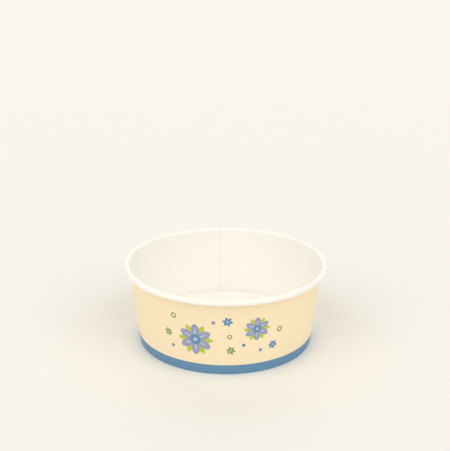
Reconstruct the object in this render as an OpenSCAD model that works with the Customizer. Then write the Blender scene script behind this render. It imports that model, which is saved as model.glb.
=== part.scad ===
// Squat paper food cup: a rolled and lapped side wall with a curled rim, and a recessed base disc
// whose skirt is gripped in the hem at the foot. Millimetres, +Z up, origin at the centre of the
// foot, on the table. The printed front faces -Y and the side seam runs up the back.

/* [Cup] */
// Outside diameter over the rolled rim
rim_d = 150; // [130:1:180]
// Outside diameter at the foot
foot_d = 128; // [110:1:140]
// Overall height
height = 60; // [45:1:90]

/* [Board] */
// Thickness of the side wall's board
wall_t = 0.45; // [0.35:0.05:0.6]
// Thickness of the base disc's board
base_t = 0.35; // [0.25:0.05:0.5]
// Film of sealant between bonded layers
seal_gap = 0.05; // [0.02:0.01:0.1]

/* [Rim] */
// Outside diameter of the rolled bead
bead_d = 4.4; // [3.6:0.1:6]
// Air between the turns of the roll
roll_gap = 0.25; // [0.15:0.05:0.5]

/* [Foot] */
// Height of the base disc's underside above the table
recess = 8; // [6:0.5:14]
// Height of the hem that is folded up inside the foot
hem_h = 6; // [3:0.5:10]
// Bend radius between the base disc and its skirt, at mid-board
bend_r = 1; // [0.6:0.1:1.6]
// Depth by which the fold at the foot is pressed flat
foot_press = 0.06; // [0.03:0.01:0.12]

/* [Side seam] */
// Width of the lap where the wall's two ends are bonded
lap_w = 9; // [5:0.5:15]
// Thickness at which the lifted board runs out into the round wall
feather_t = 0.02; // [0.01:0.005:0.05]

/* [Hidden] */
wall_color = "#FBE4BC";
base_color = "#F7F3E8";
round_fn = 180;
section_fn = 72;
margin = 1;

// The two rings of the wall's section: the fold round the skirt's edge, and the bead
fold_r = (wall_t + base_t) / 2 + seal_gap;
fold_out = fold_r + wall_t / 2;
fold_c = [foot_d / 2 - fold_out, fold_out - foot_press];
bead_r = (bead_d - wall_t) / 2;
bead_c = [(rim_d - bead_d) / 2, height - bead_d / 2];
roll_pitch = wall_t + roll_gap;

// The wall is the straight line that is tangent to both rings
span = bead_c - fold_c;
lean = acos((fold_r + bead_r) / norm(span)) - atan2(span.y, span.x);
wall_len = sqrt(norm(span) ^ 2 - (fold_r + bead_r) ^ 2);

// Base disc: centre of the bend, along the skirt from the fold
bend_z = recess + base_t / 2 - bend_r;
skirt_len = (bend_z - fold_c.y - bend_r * sin(lean)) / cos(lean);
bend_x = fold_c.x + skirt_len * sin(lean) - bend_r * cos(lean);

// Side seam: the outer end lifts off along a tangent plane to clear the inner end
wall_face = fold_r + wall_t / 2;
lap_radius = foot_d / 2;
lift_angle = acos(lap_radius / (lap_radius + wall_t / cos(lean)));
feather_angle = sqrt(2 * feather_t / lap_radius) * 180 / PI;
lap_angle = lap_w / lap_radius * 180 / PI;
lap_top = wall_len - bead_d / 4;
step_low = skirt_len + bend_r + base_t;
step_top = lap_top - 2 * wall_t;

// Section frame with x square to the wall and y up along it, from the centre of the fold
module along_wall() {
    translate(fold_c) rotate(-lean) children();
}

// Upper (side = 1) or lower (side = -1) half of a strip of board bent to a ring
module half_ring(centre, radius, side) {
    out = radius + wall_t / 2;
    translate(centre) intersection() {
        difference() {
            circle(r = out, $fn = section_fn);
            circle(r = out - wall_t, $fn = section_fn);
        }
        translate([-out - margin, side > 0 ? 0 : -out - margin])
            square([2 * (out + margin), out + margin]);
    }
}

// Straight strip of board along the wall, centred on x
module strip(x, thickness, low, high) {
    translate([x - thickness / 2, low]) square([thickness, high - low]);
}

// Rolled rim: up over the top, down the outside, back up inside, ending a quarter turn later
module bead_section() {
    middle = fold_r + bead_r;
    tuck_r = bead_r - roll_pitch;
    half_ring([middle, wall_len], bead_r, 1);
    half_ring([middle + roll_pitch / 2, wall_len], bead_r - roll_pitch / 2, -1);
    intersection() {
        half_ring([middle, wall_len], tuck_r, 1);
        translate([middle - bead_d, wall_len - margin]) square([bead_d, bead_d]);
    }
}

// Whole section of the wall's board: bead, wall, fold at the foot and hem
module wall_section() {
    difference() {
        along_wall() {
            bead_section();
            strip(fold_r, wall_t, 0, wall_len);
            half_ring([0, 0], fold_r, -1);
            strip(-fold_r, wall_t, 0, hem_h);
        }
        translate([0, -margin]) square([rim_d, margin]);
    }
}

// Sector of a conical layer of board between two distances from the skirt's mid-line
module wall_sector(inside, outside, low, high, from, to) {
    rotate([0, 0, from]) rotate_extrude(angle = to - from, $fn = round_fn)
        along_wall() translate([inside, low]) square([outside - inside, high - low]);
}

// Everything inside the plane that touches the layer at distance x where the board lifts off
module inside_tangent_plane(x) {
    deep = rim_d;
    rotate([0, 0, -lift_angle]) translate([fold_c.x, 0, fold_c.y]) rotate([0, lean, 0])
        translate([x - deep, -deep, -deep]) cube([deep, 2 * deep, 3 * deep]);
}

// Outer end of the wall's blank, lifted over the inner end and lapped on to it
module outer_lap() {
    intersection() {
        wall_sector(fold_r, wall_face + wall_t, 0, lap_top, feather_angle - lift_angle, lap_angle);
        inside_tangent_plane(wall_face);
    }
}

// Step left on the inside, where the outer end has lifted away in front of the inner end
module inner_step() {
    intersection() {
        wall_sector(wall_face - wall_t - margin, wall_face, step_low, step_top,
            feather_angle - lift_angle, 0);
        inside_tangent_plane(wall_face - wall_t);
    }
}

// One blank of board, rolled to a cone: lapped side seam, rolled rim and hemmed foot
module side_wall() {
    color(wall_color) rotate([0, 0, 90 - lap_angle / 2]) difference() {
        union() {
            rotate([0, 0, 180]) rotate_extrude($fn = round_fn) wall_section();
            outer_lap();
        }
        inner_step();
    }
}

// Section of the base's board: flat disc, bend and skirt, the last two drawn from the bend's centre
module base_section() {
    out = bend_r + base_t / 2;
    translate([bend_x, bend_z]) {
        intersection() {
            difference() {
                circle(r = out, $fn = section_fn);
                circle(r = out - base_t, $fn = section_fn);
            }
            translate([0, -out]) square(2 * out);
            rotate(-lean) translate([-out, 0]) square(2 * out);
        }
        rotate(-lean) translate([out - base_t, -skirt_len]) square([base_t, skirt_len]);
    }
    translate([0, recess]) square([bend_x, base_t]);
}

// Round blank of board with its edge drawn down to a skirt that stands in the foot's fold
module base_disc() {
    color(base_color) rotate_extrude($fn = round_fn) base_section();
}

side_wall();
base_disc();
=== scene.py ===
# %% [markdown]
# # A printed paper food cup
# The cup is made of two pieces of coated board. One long blank is rolled to a cone, lapped and sealed
# at the back, curled outwards at the rim and folded up inside the foot. A round blank is drawn down at
# its edge to a short skirt, which stands in that fold. This lesson makes both as the machine does: it
# draws the board's section once, carries it round the axis with a Geometry Nodes tree, and prints the
# outside with shader maths in millimetres.

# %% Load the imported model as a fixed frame
import math

import bpy
import numpy as np
from mathutils import Matrix, Vector


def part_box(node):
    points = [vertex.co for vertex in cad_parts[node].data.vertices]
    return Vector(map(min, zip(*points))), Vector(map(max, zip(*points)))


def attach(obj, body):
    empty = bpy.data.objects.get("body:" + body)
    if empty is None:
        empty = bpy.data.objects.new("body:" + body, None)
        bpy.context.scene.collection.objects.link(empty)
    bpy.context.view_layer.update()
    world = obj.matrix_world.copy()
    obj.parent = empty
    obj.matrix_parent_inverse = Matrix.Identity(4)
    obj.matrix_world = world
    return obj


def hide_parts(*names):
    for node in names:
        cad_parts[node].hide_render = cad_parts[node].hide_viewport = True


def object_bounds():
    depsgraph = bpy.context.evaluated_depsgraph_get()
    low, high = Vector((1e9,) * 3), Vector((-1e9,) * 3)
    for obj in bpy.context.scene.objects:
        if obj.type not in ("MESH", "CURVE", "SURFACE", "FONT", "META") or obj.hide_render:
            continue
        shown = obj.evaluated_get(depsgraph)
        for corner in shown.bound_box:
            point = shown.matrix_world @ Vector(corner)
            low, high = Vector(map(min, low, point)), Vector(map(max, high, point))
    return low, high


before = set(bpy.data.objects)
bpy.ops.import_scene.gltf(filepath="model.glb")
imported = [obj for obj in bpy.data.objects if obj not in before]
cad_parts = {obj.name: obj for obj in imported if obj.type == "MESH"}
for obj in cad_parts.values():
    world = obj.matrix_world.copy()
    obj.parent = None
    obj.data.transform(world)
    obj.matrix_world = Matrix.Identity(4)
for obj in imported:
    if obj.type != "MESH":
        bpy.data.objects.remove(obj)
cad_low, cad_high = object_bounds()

MM = 0.001
cad_size = [round(length / MM, 2) for length in cad_high - cad_low]
print("frame nodes:", sorted(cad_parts), "box in mm:", cad_size)

# %% [markdown]
# ## Sizes
# The looks have to lie on the solids, so nothing here is measured by eye. The rim, the height and the
# base's upper face are read from the frame, and the other sizes are those of the construction: board of
# 0.45 mm for the wall and 0.35 mm for the base, a 4.4 mm bead and a hem folded 6 mm up inside the foot.
# The wall is the straight line that touches the fold's circle and the bead's circle, so its lean is
# worked out and not typed in.

# %% Sizes in millimetres
_, wall_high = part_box("side_wall")
_, base_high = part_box("base_disc")
RIM_R, HEIGHT = wall_high.x / MM, wall_high.z / MM
BASE_TOP = base_high.z / MM
FOOT_R = 64.0
WALL_T, BASE_T = 0.45, 0.35
SEAL_GAP = 0.05
BEAD_D = 4.4
ROLL_GAP = 0.25
HEM_H = 6.0
BEND_R = 1.0
FOOT_PRESS = 0.06
LAP_W = 9.0

FOLD_R = (WALL_T + BASE_T) / 2 + SEAL_GAP
FOLD = np.array([FOOT_R - FOLD_R - WALL_T / 2, FOLD_R + WALL_T / 2 - FOOT_PRESS])
BEAD_R = (BEAD_D - WALL_T) / 2
BEAD = np.array([RIM_R - BEAD_D / 2, HEIGHT - BEAD_D / 2])
ROLL_PITCH = WALL_T + ROLL_GAP
SPAN = BEAD - FOLD
LEAN = math.acos((FOLD_R + BEAD_R) / np.hypot(*SPAN)) - math.atan2(SPAN[1], SPAN[0])
WALL_LEN = math.sqrt(SPAN @ SPAN - (FOLD_R + BEAD_R) ** 2)
print(f"rim radius {RIM_R:.2f}, height {HEIGHT:.2f}, wall leans {math.degrees(LEAN):.2f} degrees")


# %% [markdown]
# ## One helper for every node
# Shader trees and Geometry Nodes trees are both lists of nodes with settings and links. They could be
# drawn by hand in the node editor, but a script is easier to read, change and rerun. One small function
# adds a node, sets what it is given, and links each input that comes from another node.

# %% Node and colour helpers
MATH = "ShaderNodeMath"
VECTOR = "ShaderNodeVectorMath"
RANGE = "ShaderNodeMapRange"


def add(tree, kind, inputs=(), **settings):
    """Adds a node. Inputs, in order or by name, are values, sockets, or nodes for their first output."""
    made = tree.nodes.new(kind)
    for name, value in settings.items():
        setattr(made, name, value)
    for socket, value in inputs.items() if isinstance(inputs, dict) else enumerate(inputs):
        if isinstance(value, bpy.types.Node):
            value = value.outputs[0]
        if isinstance(value, bpy.types.NodeSocket):
            tree.links.new(value, made.inputs[socket])
        else:
            made.inputs[socket].default_value = value
    return made


def linear(hex_colour):
    """An sRGB hex colour as the linear RGBA that sockets take."""
    parts = [int(hex_colour[i:i + 2], 16) / 255 for i in (1, 3, 5)]
    return tuple(p / 12.92 if p <= 0.04045 else ((p + 0.055) / 1.055) ** 2.4 for p in parts) + (1.0,)


print("mid grey in linear light:", round(linear("#808080")[0], 3))

# %% [markdown]
# ## Camera
# The photograph looks down on the cup by a little under 24 degrees from about 0.7 m away. A camera could
# be turned by eye until it looks right, but the angle, the distance and the lens here come from fitting
# the outlines of the rim, the wall and the foot. The cup stands low in the picture, so the camera is
# pitched up a little rather than shifting its lens, and other views stay centred.

# %% Camera
PHOTO_W, PHOTO_H = 450, 451
AIM = Vector((0, 0, 30 * MM))
DISTANCE = 723.5 * MM
ELEVATION = math.radians(23.709)
PITCH_UP = math.radians(4.295)
YAW = math.radians(0.06)
ROLL = math.radians(0.34)
FOCAL_PX = 963.5
SENSOR_W = 36.0
NEAREST = 10 * MM

camera_data = bpy.data.cameras.new("camera")
camera = bpy.data.objects.new("camera", camera_data)
bpy.context.scene.collection.objects.link(camera)
looks_down = ELEVATION - PITCH_UP
back = Vector((math.sin(YAW) * math.cos(looks_down), -math.cos(YAW) * math.cos(looks_down),
               math.sin(looks_down)))
right = Vector((math.cos(YAW), math.sin(YAW), 0))
turn = Matrix((right, back.cross(right), back)).transposed() @ Matrix.Rotation(ROLL, 3, "Z")
eye = AIM + DISTANCE * Vector((0, -math.cos(ELEVATION), math.sin(ELEVATION)))
camera.matrix_world = Matrix.Translation(eye) @ turn.to_4x4()
camera_data.sensor_width = SENSOR_W
camera_data.lens = FOCAL_PX * SENSOR_W / max(PHOTO_W, PHOTO_H)
camera_data.clip_start = NEAREST
bpy.context.scene.camera = camera
print(f"lens {camera_data.lens:.1f} mm at {DISTANCE / MM:.0f} mm")


# %% [markdown]
# ## The section of the wall's board
# A strip of board has one middle line. It starts at the hem's free edge inside the foot, runs down,
# round the fold, up the wall, and curls a turn and a quarter into the rim's bead. A Bezier curve could
# follow that path roughly, but straight lines and arcs describe it exactly. Each point also keeps the
# direction on its right-hand side, because the lap and the pressed ribs move the board along it.

# %% Section lines made of straight runs and arcs
ARC_STEP = 14.0
HEM_STEP, WALL_STEP = 0.75, 4.5
SAME = 1e-6


def run(start, end, step):
    """Points at most step apart along a straight run, each with the direction on its right-hand side."""
    start, end = np.array(start, float), np.array(end, float)
    length = np.hypot(*(end - start))
    forward = (end - start) / length
    right_hand = np.array([forward[1], -forward[0]])
    shares = np.linspace(0, 1, math.ceil(length / step) + 1)
    return [(start + (end - start) * share, right_hand) for share in shares]


def arc(centre, radius, start, end):
    """Points at most ARC_STEP degrees apart along an arc, each with its right-hand direction."""
    side = 1 if end > start else -1
    angles = np.radians(np.linspace(start, end, math.ceil(abs(end - start) / ARC_STEP) + 1))
    rays = [np.array([math.cos(a), math.sin(a)]) for a in angles]
    return [(np.array(centre) + radius * ray, side * ray) for ray in rays]


def joined(*parts):
    """One line from parts that follow each other, with the repeated points at their ends dropped."""
    points = sum(parts, [])
    return points[:1] + [b for a, b in zip(points, points[1:]) if np.hypot(*(b[0] - a[0])) > SAME]


print("a full turn takes", len(arc((0, 0), 1, 0, 360)) - 1, "steps")

# %% The wall's section, drawn square to the wall and then leaned out
MIDDLE = FOLD_R + BEAD_R
upright = joined(
    run((-FOLD_R, HEM_H), (-FOLD_R, 0), HEM_STEP),
    arc((0, 0), FOLD_R, 180, 360),
    run((FOLD_R, 0), (FOLD_R, WALL_LEN), WALL_STEP),
    arc((MIDDLE, WALL_LEN), BEAD_R, 180, 0),
    arc((MIDDLE + ROLL_PITCH / 2, WALL_LEN), BEAD_R - ROLL_PITCH / 2, 0, -180),
    arc((MIDDLE, WALL_LEN), BEAD_R - ROLL_PITCH, 180, 90))
lean_out = np.array([[math.cos(LEAN), math.sin(LEAN)], [-math.sin(LEAN), math.cos(LEAN)]])
wall_line = [(FOLD + lean_out @ point, lean_out @ out) for point, out in upright]
print(len(wall_line), "points along the wall's board")

# %% [markdown]
# ## A tree that rolls a blank
# The real blank is flat, and rolling it is a rule: every point of the section goes round by an angle. A
# Screw modifier would turn a section too, but it can't lap one end over the other. So a Geometry Nodes
# tree starts from a grid that stands for the blank, one side for the angle and the other for the
# section, and moves each of its points to its place. Every size that the machine could change is a named
# input of the tree.

# %% The tree and its inputs
roll = bpy.data.node_groups.new("roll_a_blank", "GeometryNodeTree")
roll.interface.new_socket("Geometry", in_out="OUTPUT", socket_type="NodeSocketGeometry")
roll_inputs = {}
for name, kind in (("Section", "Geometry"), ("Steps around", "Int"), ("Start angle", "Float"),
                   ("Lap angle", "Float"), ("Lift", "Float"), ("Lift angle", "Float"), ("Ribs", "Int"),
                   ("Rib depth", "Float"), ("Wobble", "Float"), ("Wobble size", "Float"),
                   ("Lowest", "Float"), ("Material", "Material")):
    made = roll.interface.new_socket(name, in_out="INPUT", socket_type="NodeSocket" + kind)
    roll_inputs[name] = made.identifier
given = roll.nodes.new("NodeGroupInput").outputs
print("the tree takes:", ", ".join(roll_inputs))

# %% The flat blank, and what each of its points reads from the section
count = add(roll, "GeometryNodeAttributeDomainSize", {"Geometry": given["Section"]}, component="MESH")
columns = add(roll, MATH, (given["Steps around"], 1.0), operation="ADD")
blank = add(roll, "GeometryNodeMeshGrid", {
    "Size X": 1.0, "Size Y": 1.0, "Vertices X": columns, "Vertices Y": count})
# A grid counts its points up one column after another, so a column is one copy of the section
index = add(roll, "GeometryNodeInputIndex")
row = add(roll, MATH, (index, count), operation="FLOORED_MODULO")
column = add(roll, MATH, (add(roll, MATH, (index, count), operation="DIVIDE"),), operation="FLOOR")
share = add(roll, MATH, (column, given["Steps around"]), operation="DIVIDE")

read = {}
for name, kind in (("position", "FLOAT_VECTOR"), ("outwards", "FLOAT_VECTOR"), ("outer_gives", "FLOAT"),
                   ("inner_gives", "FLOAT"), ("ribbed", "FLOAT"), ("free", "FLOAT")):
    stored = add(roll, "GeometryNodeInputNamedAttribute", {"Name": name}, data_type=kind)
    read[name] = add(roll, "GeometryNodeSampleIndex", {
        "Geometry": given["Section"], "Value": stored, "Index": row}, data_type=kind)
print("each point reads:", ", ".join(read))

# %% [markdown]
# ### The lap
# At the back, one end of the blank lies over the other. Stiff board doesn't step up there: it leaves the
# round on a straight tangent until it has cleared the inner end by one thickness, and then follows the
# round again. The height of a tangent above a circle is radius / cos(angle) - radius, so that is what
# the tree works out. Under the fold the outer end stays in line and the inner end moves in instead, and
# comes back to the round as gently, because the foot has to stay flat on the table. Heat and pressure
# seal the two layers into less than twice the board's thickness, so the outer end gives up part of its
# lift.

# %% Angle round the axis, and lift over the lap
whole = add(roll, MATH, (given["Lap angle"], 2 * math.pi), operation="ADD")
angle = add(roll, MATH, (share, whole), operation="MULTIPLY")
leaves_at = add(roll, MATH, (2 * math.pi, given["Lift angle"]), operation="SUBTRACT")
past = add(roll, MATH, (angle, leaves_at), operation="SUBTRACT")
past = add(roll, "ShaderNodeClamp", (past, 0.0, given["Lift angle"]))
radius = add(roll, "ShaderNodeSeparateXYZ", (read["position"],))
tangent = add(roll, MATH, (radius, add(roll, MATH, (past,), operation="COSINE")), operation="DIVIDE")
rise = add(roll, MATH, (tangent, radius), operation="SUBTRACT")
lift = add(roll, MATH, (rise, given["Lift"]), operation="MINIMUM")

stays = add(roll, MATH, (1.0, read["outer_gives"]), operation="SUBTRACT")
lift = add(roll, MATH, (lift, stays), operation="MULTIPLY")
lap_run = add(roll, MATH, (given["Lap angle"], given["Lift angle"]), operation="ADD")
inner_end = add(roll, RANGE, (angle, given["Lap angle"], lap_run, 1.0, 0.0))
tuck = add(roll, MATH, (read["inner_gives"], given["Lift"]), operation="MULTIPLY")
tuck = add(roll, MATH, (tuck, inner_end), operation="MULTIPLY")
lift = add(roll, MATH, (lift, tuck), operation="SUBTRACT")
print(len(roll.nodes), "nodes so far")

# %% [markdown]
# ### Ribs and waviness
# A toothed roller presses the hem against the base's skirt and leaves upright ribs. The free wall between
# rim and foot is never quite round. Both could be a bump in the material, but then they would be missing
# from the mesh, so they move the board: a cosine of the angle for the ribs, and a broad noise for the
# waviness.

# %% Ribs pressed into the board, and its slight waviness
# The cosine runs from -1 to 1, and half of it plus a half from 0 to 1
wave = add(roll, MATH, (angle, given["Ribs"]), operation="MULTIPLY")
wave = add(roll, MATH, (wave,), operation="COSINE")
wave = add(roll, MATH, (wave, 0.5, 0.5), operation="MULTIPLY_ADD")
depth = add(roll, MATH, (read["ribbed"], given["Rib depth"]), operation="MULTIPLY")
lift = add(roll, MATH, (wave, depth, lift), operation="MULTIPLY_ADD")

heading = add(roll, MATH, (angle, given["Start angle"]), operation="ADD")
sine = add(roll, MATH, (heading,), operation="SINE")
cosine = add(roll, MATH, (heading,), operation="COSINE")
here = add(roll, "ShaderNodeCombineXYZ", (
    add(roll, MATH, (radius, sine), operation="MULTIPLY"),
    add(roll, MATH, (radius, cosine), operation="MULTIPLY"), radius.outputs["Z"]))
# Noise lies about a half, which is taken off so that the board swings both ways
noise_scale = add(roll, MATH, (1.0, given["Wobble size"]), operation="DIVIDE")
noise = add(roll, "ShaderNodeTexNoise", {"Vector": here, "Scale": noise_scale, "Detail": 1.0})
noise = add(roll, MATH, (noise, 0.5), operation="SUBTRACT")
swing = add(roll, MATH, (read["free"], given["Wobble"]), operation="MULTIPLY")
lift = add(roll, MATH, (noise, swing, lift), operation="MULTIPLY_ADD")
print(len(roll.nodes), "nodes so far")

# %% Place every point; nothing goes below Lowest, which presses the fold flat on the table
moved = add(roll, VECTOR, {0: read["outwards"], "Scale": lift}, operation="SCALE")
moved = add(roll, VECTOR, (read["position"], moved), operation="ADD")
flat = add(roll, "ShaderNodeSeparateXYZ", (moved,))
target = add(roll, "ShaderNodeCombineXYZ", (
    add(roll, MATH, (flat, sine), operation="MULTIPLY"),
    add(roll, MATH, (flat, cosine), operation="MULTIPLY"),
    add(roll, MATH, (flat.outputs["Z"], given["Lowest"]), operation="MAXIMUM")))
sheet = add(roll, "GeometryNodeSetPosition", {"Geometry": blank, "Position": target})
print(len(roll.nodes), "nodes so far")

# %% Close the disc's seam and middle, turn the faces outwards and finish the sheet
WELD = 0.001 * MM
sheet = add(roll, "GeometryNodeMergeByDistance", {"Geometry": sheet, "Distance": WELD})
sheet = add(roll, "GeometryNodeFlipFaces", {"Mesh": sheet})
sheet = add(roll, "GeometryNodeSetShadeSmooth", {"Geometry": sheet})
sheet = add(roll, "GeometryNodeRealizeInstances", {"Geometry": sheet})
sheet = add(roll, "GeometryNodeSetMaterial", {"Geometry": sheet, "Material": given["Material"]})
add(roll, "NodeGroupOutput", (sheet,))
print(len(roll.nodes), "nodes roll a blank")


# %% [markdown]
# ## From section to closed piece
# Real board has two faces and a cut edge, each with its own look. The sheet could be drawn twice, inside
# and outside, but Solidify gives it the board's thickness from its middle line and puts the second face
# and the edges into material slots of their own. The result is turned into a plain mesh, and the
# modifiers are removed.

# %% Make a piece of board
IN_FACE, CUT_FACE = 1, 2


def board_piece(name, line, weights, thickness, materials, settings):
    """A closed piece of board of one thickness; materials are those of its out, in and cut faces."""
    section = bpy.data.meshes.new(name + "_section")
    section.from_pydata([(point[0] * MM, 0, point[1] * MM) for point, out in line],
                        [(k, k + 1) for k in range(len(line) - 1)], [])
    outwards = section.attributes.new("outwards", "FLOAT_VECTOR", "POINT")
    outwards.data.foreach_set("vector", np.ravel([(out[0], 0, out[1]) for point, out in line]))
    for label, values in weights.items():
        section.attributes.new(label, "FLOAT", "POINT").data.foreach_set("value", values)
    # The tree's sheet has an empty slot before its material, so these slots start with one too
    for material in (None, *materials):
        section.materials.append(material)
    made = bpy.data.objects.new(name, section)
    bpy.context.scene.collection.objects.link(made)
    rolled = made.modifiers.new("rolled", "NODES")
    rolled.node_group = roll
    for label, value in {"Material": materials[0], **settings}.items():
        rolled[roll_inputs[label]] = value
    board = made.modifiers.new("board", "SOLIDIFY")
    board.thickness, board.offset = thickness * MM, 0
    board.material_offset, board.material_offset_rim = IN_FACE, CUT_FACE
    final = bpy.data.meshes.new_from_object(made.evaluated_get(bpy.context.evaluated_depsgraph_get()))
    final.name = name
    made.modifiers.clear()
    made.data = final
    bpy.data.meshes.remove(section)
    # The empty slot has done its work, and a slot that the mesh didn't keep is put back
    final.materials.pop(index=0)
    for material in materials[len(final.materials):]:
        final.materials.append(material)
    cut = sum(face.material_index == CUT_FACE for face in final.polygons)
    print(name, len(final.polygons), "faces, of which cut edge:", cut)
    return made


# %% [markdown]
# ## Print
# The outside is printed flat, before the blank is rolled: a cream ground, a blue band along the foot and
# a scatter of flowers, rings and dots that comes round three times. Painting it would need an image, so
# the print is drawn by maths instead. A point's angle and height give its place on the blank in
# millimetres, and every motif is a small formula of the distance and direction from its own centre. A
# formula is a node group, so that one drawing serves many motifs. Ink spreads a little in board, so each
# mask fades over a fraction of a millimetre on both sides of its edge. The cream is partly the board's
# own warm ivory and partly painted warm bounce light.

# %% What the formulas share: inputs, the way from the centre, and the soft edge of the ink
INK_BLUR = 0.18


def mask_group(name, numbers):
    """A shader group to hold a formula, its inputs, and the way and the distance from the centre."""
    tree = bpy.data.node_groups.new(name, "ShaderNodeTree")
    for label in ("Point", "Centre"):
        tree.interface.new_socket(label, in_out="INPUT", socket_type="NodeSocketVector")
    for label in numbers:
        tree.interface.new_socket(label, in_out="INPUT", socket_type="NodeSocketFloat")
    tree.interface.new_socket("Mask", in_out="OUTPUT", socket_type="NodeSocketFloat")
    given = tree.nodes.new("NodeGroupInput").outputs
    away = add(tree, VECTOR, (given["Point"], given["Centre"]), operation="SUBTRACT")
    far = add(tree, VECTOR, (away,), operation="LENGTH").outputs["Value"]
    return tree, given, away, far


def end_mask(tree, inside):
    """Gives a group its output, full where inside is above zero."""
    mask = add(tree, RANGE, (inside, -INK_BLUR, INK_BLUR, 0.0, 1.0), interpolation_type="SMOOTHSTEP")
    add(tree, "NodeGroupOutput", (mask,))


print(f"the edge of the ink fades over {2 * INK_BLUR:.2f} mm")

# %% Rings and dots: full within Line of a circle of Radius, so a zero Radius is a dot
printed_ring, given, _, far = mask_group("printed_ring", ("Radius", "Line"))
off = add(printed_ring, MATH, (far, given["Radius"]), operation="SUBTRACT")
off = add(printed_ring, MATH, (off,), operation="ABSOLUTE")
end_mask(printed_ring, add(printed_ring, MATH, (given["Line"], off), operation="SUBTRACT"))
print("a ring takes", len(printed_ring.nodes), "nodes")

# %% Petals, from Root to Tip and twice Half wide, all folded into one by wrapping the angle
# A petal's width falls with the square of the distance from its middle. Round is the power of that
# fall: 1 gives pointed leaves and 0.5 gives ovals.
petals, given, away, far = mask_group("printed_petals", ("Count", "Turn", "Root", "Tip", "Half", "Round"))
part = add(petals, "ShaderNodeSeparateXYZ", (away,)).outputs
half_sector = add(petals, MATH, (math.pi, given["Count"]), operation="DIVIDE")
minus_half = add(petals, MATH, (half_sector, -1.0), operation="MULTIPLY")
way = add(petals, MATH, (part["Y"], part["X"]), operation="ARCTAN2")
way = add(petals, MATH, (way, given["Turn"]), operation="ADD")
way = add(petals, MATH, (way, half_sector, minus_half), operation="WRAP")
along = add(petals, MATH, (far, add(petals, MATH, (way,), operation="COSINE")), operation="MULTIPLY")
beside = add(petals, MATH, (far, add(petals, MATH, (way,), operation="SINE")), operation="MULTIPLY")
beside = add(petals, MATH, (beside,), operation="ABSOLUTE")
share = add(petals, RANGE, (along, given["Root"], given["Tip"], -1.0, 1.0), clamp=False)
squared = add(petals, MATH, (share, share), operation="MULTIPLY")
fall = add(petals, MATH, (1.0, squared), operation="SUBTRACT")
within = add(petals, MATH, (fall, 0.0), operation="MAXIMUM")
within = add(petals, MATH, (within, given["Round"]), operation="POWER")
beyond = add(petals, MATH, (fall, 0.0), operation="MINIMUM")
swell = add(petals, MATH, (within, beyond), operation="ADD")
width = add(petals, MATH, (given["Half"], swell), operation="MULTIPLY")
end_mask(petals, add(petals, MATH, (width, beside), operation="SUBTRACT"))
print("petals take", len(petals.nodes), "nodes")

# %% [markdown]
# ## Layers of ink
# Each motif is a few layers, and later ones cover earlier ones as inks do. The two flowers have a crown
# of leaves, six broad petals with a paler stroke along each, and a round heart. Between them lie small
# daisies, rings and dots. Places are millimetres to the right of the panel's middle and above the table,
# so the list reads like the printer's own layout sheet.

# %% The motifs, each a list of formula, centre, numbers and ink
BLUE, PALE_BLUE, LAVENDER, LIME, SAGE = "#5B8DB5", "#A9C3D2", "#9B9CC4", "#BFCB3E", "#8E9A78"
LEAF, OVAL = 1.0, 0.5
PER_FLOWER = 6
HALF_PETAL = math.pi / PER_FLOWER
DAISY_TURN = 0.2
RING_LINE = 0.24


def flower(x, z, size):
    """Leaves, broad petals between them, a paler stroke along each petal, and a heart of two rounds."""
    return [
        (petals, (x, z), (PER_FLOWER, 0.0, 0.3 * size, size, 0.17 * size, LEAF), LIME),
        (petals, (x, z), (PER_FLOWER, HALF_PETAL, 0.12 * size, 0.94 * size, 0.23 * size, OVAL), LAVENDER),
        (petals, (x, z), (PER_FLOWER, HALF_PETAL, 0.2 * size, 0.72 * size, 0.07 * size, LEAF), PALE_BLUE),
        (printed_ring, (x, z), (0.0, 0.3 * size), BLUE),
        (printed_ring, (x, z), (0.0, 0.13 * size), PALE_BLUE)]


def daisy(x, z, size, petal_ink, heart_ink):
    """Oval petals that start in the middle, under a round heart."""
    return [
        (petals, (x, z), (PER_FLOWER, DAISY_TURN, 0.0, size, 0.27 * size, OVAL), petal_ink),
        (printed_ring, (x, z), (0.0, 0.27 * size), heart_ink)]


def ring(x, z, size, ink):
    """A ring whose outer radius is size."""
    line = RING_LINE * size
    return [(printed_ring, (x, z), (size - line, line), ink)]


def dot(x, z, size, ink):
    """A dot whose radius is size."""
    return [(printed_ring, (x, z), (0.0, size), ink)]


print("a flower has", len(flower(0, 0, 1)), "layers")

# %% The print's layers, in the order they are laid down
layers = (
    flower(-21.0, 27.0, 12.8) + flower(22.0, 35.5, 9.6)
    + daisy(1.5, 42.5, 3.6, BLUE, PALE_BLUE) + daisy(35.0, 20.5, 3.5, BLUE, PALE_BLUE)
    + daisy(4.0, 19.5, 3.3, SAGE, LIME) + daisy(-42.0, 28.5, 3.2, SAGE, LIME)
    + ring(-36.5, 43.0, 2.2, SAGE) + ring(3.0, 30.5, 1.8, SAGE) + ring(39.5, 32.0, 2.2, SAGE)
    + dot(-8.0, 41.5, 1.4, LAVENDER) + dot(25.5, 18.0, 1.4, LAVENDER)
    + dot(13.0, 23.5, 1.3, BLUE) + dot(-39.0, 18.5, 1.3, BLUE))
print(len(layers), "layers of ink on each panel")


# %% [markdown]
# ## Coated board
# Cup board is bleached paper with a thin film of plastic melted on both faces. The film hides most of the
# fibre, so the surface is smooth and softly glossy, with a faint cloudiness, a very low relief and a
# gloss that varies a little. A plain colour would look like moulded plastic, so two noises stand for the
# paper: flocks of fibre about a millimetre across, as coarse as they need to be to show in a picture of
# this size, and broad clouds from the way the pulp settles.

# %% Board with its relief and gloss
FLOCK, CLOUD = 1.4 * MM, 9 * MM
RELIEF, RELIEF_SHARE = 0.1 * MM, 0.06
# Most of a noise lies between these two levels
NOISE_LOW, NOISE_HIGH = 0.3, 0.7
GLOSS_SPREAD = 0.05
DARKEST_CLOUD = 0.975
FILM_IOR = 1.5


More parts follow.
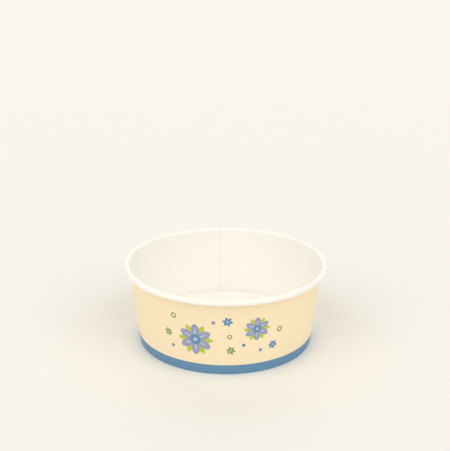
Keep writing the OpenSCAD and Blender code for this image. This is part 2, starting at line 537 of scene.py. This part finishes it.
def board_material(name, roughness):
    """A material of board, with its tree, shader, Object coordinates, and a factor for its colour."""
    made = bpy.data.materials.new(name)
    made.use_nodes = True
    tree = made.node_tree
    shader = tree.nodes["Principled BSDF"]
    shader.inputs["IOR"].default_value = FILM_IOR
    place = add(tree, "ShaderNodeTexCoord").outputs["Object"]
    flocks = add(tree, "ShaderNodeTexNoise", {"Vector": place, "Scale": 1 / FLOCK, "Detail": 3.0})
    clouds = add(tree, "ShaderNodeTexNoise", {"Vector": place, "Scale": 1 / CLOUD, "Detail": 2.0})
    relief = add(tree, "ShaderNodeBump", {"Height": flocks, "Strength": RELIEF_SHARE, "Distance": RELIEF})
    tree.links.new(relief.outputs[0], shader.inputs["Normal"])
    gloss = add(tree, RANGE, (
        clouds, NOISE_LOW, NOISE_HIGH, roughness - GLOSS_SPREAD, roughness + GLOSS_SPREAD))
    tree.links.new(gloss.outputs[0], shader.inputs["Roughness"])
    both = add(tree, MATH, (flocks, clouds), operation="ADD")
    cloudy = add(tree, RANGE, (both, 2 * NOISE_LOW, 2 * NOISE_HIGH, DARKEST_CLOUD, 1.0))
    return made, tree, shader, place, cloudy


print(f"flocks {FLOCK / MM} mm and clouds {CLOUD / MM:.0f} mm across")

# %% White faces, and the raw cut edge
WHITE, PAPER = "#FCF9F2", "#F3EDDF"
SATIN, MATT = 0.48, 0.85


def plain_board(name, colour, roughness):
    """Board of one colour."""
    made, tree, shader, _, cloudy = board_material(name, roughness)
    shade = add(tree, VECTOR, {0: linear(colour)[:3], "Scale": cloudy}, operation="SCALE")
    tree.links.new(shade.outputs[0], shader.inputs["Base Color"])
    return made


# Film on bleached board: a clean, slightly warm white with a soft sheen
white_board = plain_board("white_coated_board", WHITE, SATIN)
# Bare fibre where the die has cut the board: matt, and a shade darker than the film
raw_edge = plain_board("cut_board_edge", PAPER, MATT)
print("made", white_board.name, "and", raw_edge.name)

# %% [markdown]
# ## The printed face
# The ground is cream, partly the board's own warm ivory and partly painted warm bounce light. The inks
# lie under the film, so they share its gloss. The panel comes round three times. Wrapping the angle into
# one panel does that with one node, where copies of the layers would triple the tree. The fold at the
# foot stretches the film and the ink under it, so along its edge the ink has cracked in fine flecks and
# a little paper shows.

# %% Where a point lies on its panel, in millimetres
PANELS = 3
HALF_PANEL = math.pi / PANELS
# The wall's radius about half way up, where the print's millimetres are true
PRINT_R = 67.5
# Ink under film: even colours with the film's soft sheen
printed_board, tree, shader, place, cloudy = board_material("printed_coated_board", SATIN)
part = add(tree, "ShaderNodeSeparateXYZ", (place,)).outputs
front = add(tree, MATH, (part["Y"], -1.0), operation="MULTIPLY")
angle = add(tree, MATH, (part["X"], front), operation="ARCTAN2")
angle = add(tree, MATH, (angle, HALF_PANEL, -HALF_PANEL), operation="WRAP")
across = add(tree, MATH, (angle, PRINT_R), operation="MULTIPLY")
height = add(tree, MATH, (part["Z"], MM), operation="DIVIDE")
spot = add(tree, "ShaderNodeCombineXYZ", (across, height))
print(f"each panel is {2 * HALF_PANEL * PRINT_R:.0f} mm wide")

# %% Masks of the motifs, and of the band along the foot
BAND_H, BAND_BLUR = 7.55, 0.12
BAND_BLUE = "#618FB3"
coats = []
for formula, (x, z), numbers, ink in layers:
    mask = add(tree, "ShaderNodeGroup", (spot, (x, z, 0), *numbers), node_tree=formula)
    coats.append((mask, ink))
band = add(tree, RANGE, (height, BAND_H + BAND_BLUR, BAND_H - BAND_BLUR, 0.0, 1.0))
coats.append((band, BAND_BLUE))
print(len(coats), "coats of ink")

# %% Flecks of paper along the fold
# The lower a point on the fold, the more its ink is stretched, and the more of the grain has cracked
FLECK = 5 * MM
FLECK_TOP, FLECK_FULL, FLECK_PUSH = 0.5, 0.05, 0.3
CRACK_START, CRACK_END, CRACK_SHOWS = 0.82, 0.98, 0.5
grain = add(tree, "ShaderNodeTexNoise", {
    "Vector": place, "Scale": 1 / FLECK, "Detail": 6.0, "Roughness": 0.65})
stretch = add(tree, RANGE, (height, FLECK_TOP, FLECK_FULL, 0.0, FLECK_PUSH))
cracked = add(tree, MATH, (grain, stretch), operation="ADD")
cracked = add(tree, RANGE, (cracked, CRACK_START, CRACK_END, 0.0, CRACK_SHOWS))
coats.append((cracked, PAPER))
print(f"flecks up to {FLECK_TOP} mm above the table")

# %% Lay each coat over the ones before it
# A Mix node has sockets for each kind of data under the same names, so its colours go by number
CREAM_AND_PAINTED_BOUNCE = "#FEEBC6"
FACTOR, UNDER, OVER, MIXED = 0, 6, 7, 2
# Start from the cream ground: the board's own warm ivory with painted warm bounce light in it
colour = linear(CREAM_AND_PAINTED_BOUNCE)
for mask, ink in coats:
    coat = add(tree, "ShaderNodeMix", {FACTOR: mask, UNDER: colour, OVER: linear(ink)}, data_type="RGBA")
    colour = coat.outputs[MIXED]
shade = add(tree, VECTOR, {0: colour, "Scale": cloudy}, operation="SCALE")
tree.links.new(shade.outputs[0], shader.inputs["Base Color"])
print("printed face:", len(tree.nodes), "nodes")


# %% [markdown]
# ## The side wall
# One blank makes the wall, the rim and the foot. It could be three lathe shapes stuck together, but then
# the lap, the roll and the fold would have no board running through them. Each point of the section says
# how much of the lift each end gives up at the lap, and how much of the ribs and the waviness it takes:
# ribs on the hem only, and waviness on the wall between the stiff rim and the stiff foot.

# %% How much each point of the wall's section gives, and takes
# Lengths along the board, a share of the lift, and heights above the table
RIB_RAMP = 0.6
PRESSED = 0.4
STIFF_FOOT, STIFF_RIM = (12, 24), (54, 44)


def ramp(values, start, end):
    """Rises from 0 at start to 1 at end."""
    return np.clip((values - start) / (end - start), 0, 1)


def board_length(line):
    """How far along the board each point lies."""
    points = np.array([point for point, out in line])
    return np.concatenate([[0], np.cumsum(np.hypot(*np.diff(points, axis=0).T))])


from_hem = board_length(wall_line)
heights = np.array([point[1] for point, out in wall_line])
# 1 at the lowest line of the fold, where the board's outer side faces down, and 0 off the fold
downwards = np.array([max(0.0, -out[1]) for point, out in upright]) * (from_hem < 2 * HEM_H)
wall_weights = {
    "outer_gives": np.maximum(downwards, PRESSED),
    "inner_gives": downwards,
    "ribbed": ramp(from_hem, 0, RIB_RAMP) * ramp(from_hem, HEM_H - RIB_RAMP, HEM_H - 2 * RIB_RAMP),
    "free": ramp(heights, *STIFF_FOOT) * ramp(heights, *STIFF_RIM)}
print(f"the wall's board is {from_hem[-1]:.1f} mm long from hem to roll")

# %% The side wall
LAP = LAP_W / FOOT_R
LIFT = WALL_T + SEAL_GAP
side_wall = board_piece(
    "side_wall_board", wall_line, wall_weights, WALL_T, [printed_board, white_board, raw_edge],
    {"Steps around": 672, "Start angle": -LAP / 2, "Lap angle": LAP, "Lift": LIFT * MM,
     "Lift angle": math.acos(FOOT_R / (FOOT_R + LIFT)), "Ribs": 96, "Rib depth": 0.3 * MM,
     "Wobble": 0.5 * MM, "Wobble size": 45 * MM, "Lowest": WALL_T / 2 * MM})
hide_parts("side_wall")
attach(side_wall, "root")

# %% [markdown]
# ## The base disc
# The base is a round blank whose edge is drawn down over a punch, so it is flat in the middle and has a
# short skirt. Drawing a flat sheet down leaves it too long round its edge, and the spare length goes into
# fine pleats at the bend. The tree that rolls the wall makes this piece as well: it has no lap, its ribs
# are the pleats, and the flat middle is a little uneven.

# %% The base's section: flat disc, bend and skirt
BASE_STEP = 5.0
base_mid = BASE_TOP - BASE_T / 2
bend_z = base_mid - BEND_R
skirt_len = (bend_z - FOLD[1] - BEND_R * math.sin(LEAN)) / math.cos(LEAN)
bend_x = FOLD[0] + skirt_len * math.sin(LEAN) - BEND_R * math.cos(LEAN)
skirt_top = (bend_x + BEND_R * math.cos(LEAN), bend_z - BEND_R * math.sin(LEAN))
base_line = joined(
    run((0, base_mid), (bend_x, base_mid), BASE_STEP),
    arc((bend_x, bend_z), BEND_R, 90, -math.degrees(LEAN)),
    run(skirt_top, FOLD, WALL_STEP))
print(f"the skirt is {skirt_len:.1f} mm long")

# %% The base disc
# Lengths along the board past the start of the bend
PLEATS_RISE, PLEATS_FADE = (-1.0, 0.5), (3.0, 1.5)
FLAT_EDGE = (-8, -25)
past_bend = board_length(base_line) - bend_x
none = np.zeros(len(base_line))
base_weights = {
    "outer_gives": none, "inner_gives": none,
    "ribbed": ramp(past_bend, *PLEATS_RISE) * ramp(past_bend, *PLEATS_FADE),
    "free": ramp(past_bend, *FLAT_EDGE)}
base_disc = board_piece(
    "base_disc_board", base_line, base_weights, BASE_T, [white_board, white_board, raw_edge],
    {"Steps around": 720, "Start angle": 0.0, "Lap angle": 0.0, "Lift": 0.0, "Lift angle": 0.0,
     "Ribs": 120, "Rib depth": 0.08 * MM, "Wobble": 0.5 * MM, "Wobble size": 40 * MM,
     "Lowest": 0.0})
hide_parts("base_disc")
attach(base_disc, "root")

# %% [markdown]
# ## Floor
# The cup stands on a plain pale floor that reaches far enough for the camera to see nothing else. A wall
# and a curved sweep are common in studios, but one plane is enough here, because the camera looks down.

# %% Floor
FLOOR_REACH = 6.0
FLOOR_COLOUR, FLOOR_ROUGHNESS = "#F6F3EC", 0.9
floor_mesh = bpy.data.meshes.new("floor")
corners = [(x * FLOOR_REACH, y * FLOOR_REACH, 0) for x, y in ((-1, -1), (1, -1), (1, 1), (-1, 1))]
floor_mesh.from_pydata(corners, [], [(0, 1, 2, 3)])
floor = bpy.data.objects.new("floor", floor_mesh)
bpy.context.scene.collection.objects.link(floor)
# Matt studio paper: an even, pale ground that shows only the cup's soft shadow
pale_floor = bpy.data.materials.new("pale_floor")
pale_floor.use_nodes = True
floor_shader = pale_floor.node_tree.nodes["Principled BSDF"]
floor_shader.inputs["Base Color"].default_value = linear(FLOOR_COLOUR)
floor_shader.inputs["Roughness"].default_value = FLOOR_ROUGHNESS
floor_mesh.materials.append(pale_floor)
print(f"floor {2 * FLOOR_REACH:.0f} m wide")

# %% [markdown]
# ## Light
# The photograph has broad, soft light from both sides of the front and hardly a shadow. Area lamps would
# fall off across the floor, so suns with a very wide angle stand for them and give the same level
# everywhere: two in front, and a weaker one behind, so that the back isn't dull. The world's even light
# fills the inside of the cup. Where the camera sees the world itself, above the floor's far edge in low
# views, it is as pale as the floor: Light Path tells those rays apart.

# %% Lamps
LAMP_WIDTH = math.radians(60)
for name, azimuth, elevation, strength in (
        ("left", -50, 42, 0.87), ("right", 50, 42, 0.85), ("back", 180, 28, 0.5)):
    lamp = bpy.data.lights.new(name, "SUN")
    lamp.energy, lamp.angle = strength, LAMP_WIDTH
    made = bpy.data.objects.new(name, lamp)
    bpy.context.scene.collection.objects.link(made)
    side, up = math.radians(azimuth), math.radians(elevation)
    made.location = (math.sin(side) * math.cos(up), -math.cos(side) * math.cos(up), math.sin(up))
    made.rotation_euler = (-made.location).to_track_quat("-Z", "Y").to_euler()

# %% World and colour view
SKY_LIGHT, SKY_COLOUR, BACKDROP = 0.57, "#FFFDF8", "#FBF7EE"
world = bpy.data.worlds.new("studio")
bpy.context.scene.world = world
world.use_nodes = True
studio = world.node_tree
ray = add(studio, "ShaderNodeLightPath").outputs
seen = add(studio, MATH, (ray["Is Camera Ray"], ray["Is Glossy Ray"]), operation="MAXIMUM")
seen = add(studio, MATH, (seen, ray["Is Transmission Ray"]), operation="MAXIMUM")
light = add(studio, "ShaderNodeBackground", (linear(SKY_COLOUR), SKY_LIGHT))
backdrop = add(studio, "ShaderNodeBackground", (linear(BACKDROP), 1.0))
sky = add(studio, "ShaderNodeMixShader", (seen, light, backdrop))
studio.links.new(sky.outputs[0], studio.nodes["World Output"].inputs["Surface"])
bpy.context.scene.view_settings.view_transform = "Standard"
print("world:", len(studio.nodes), "nodes")
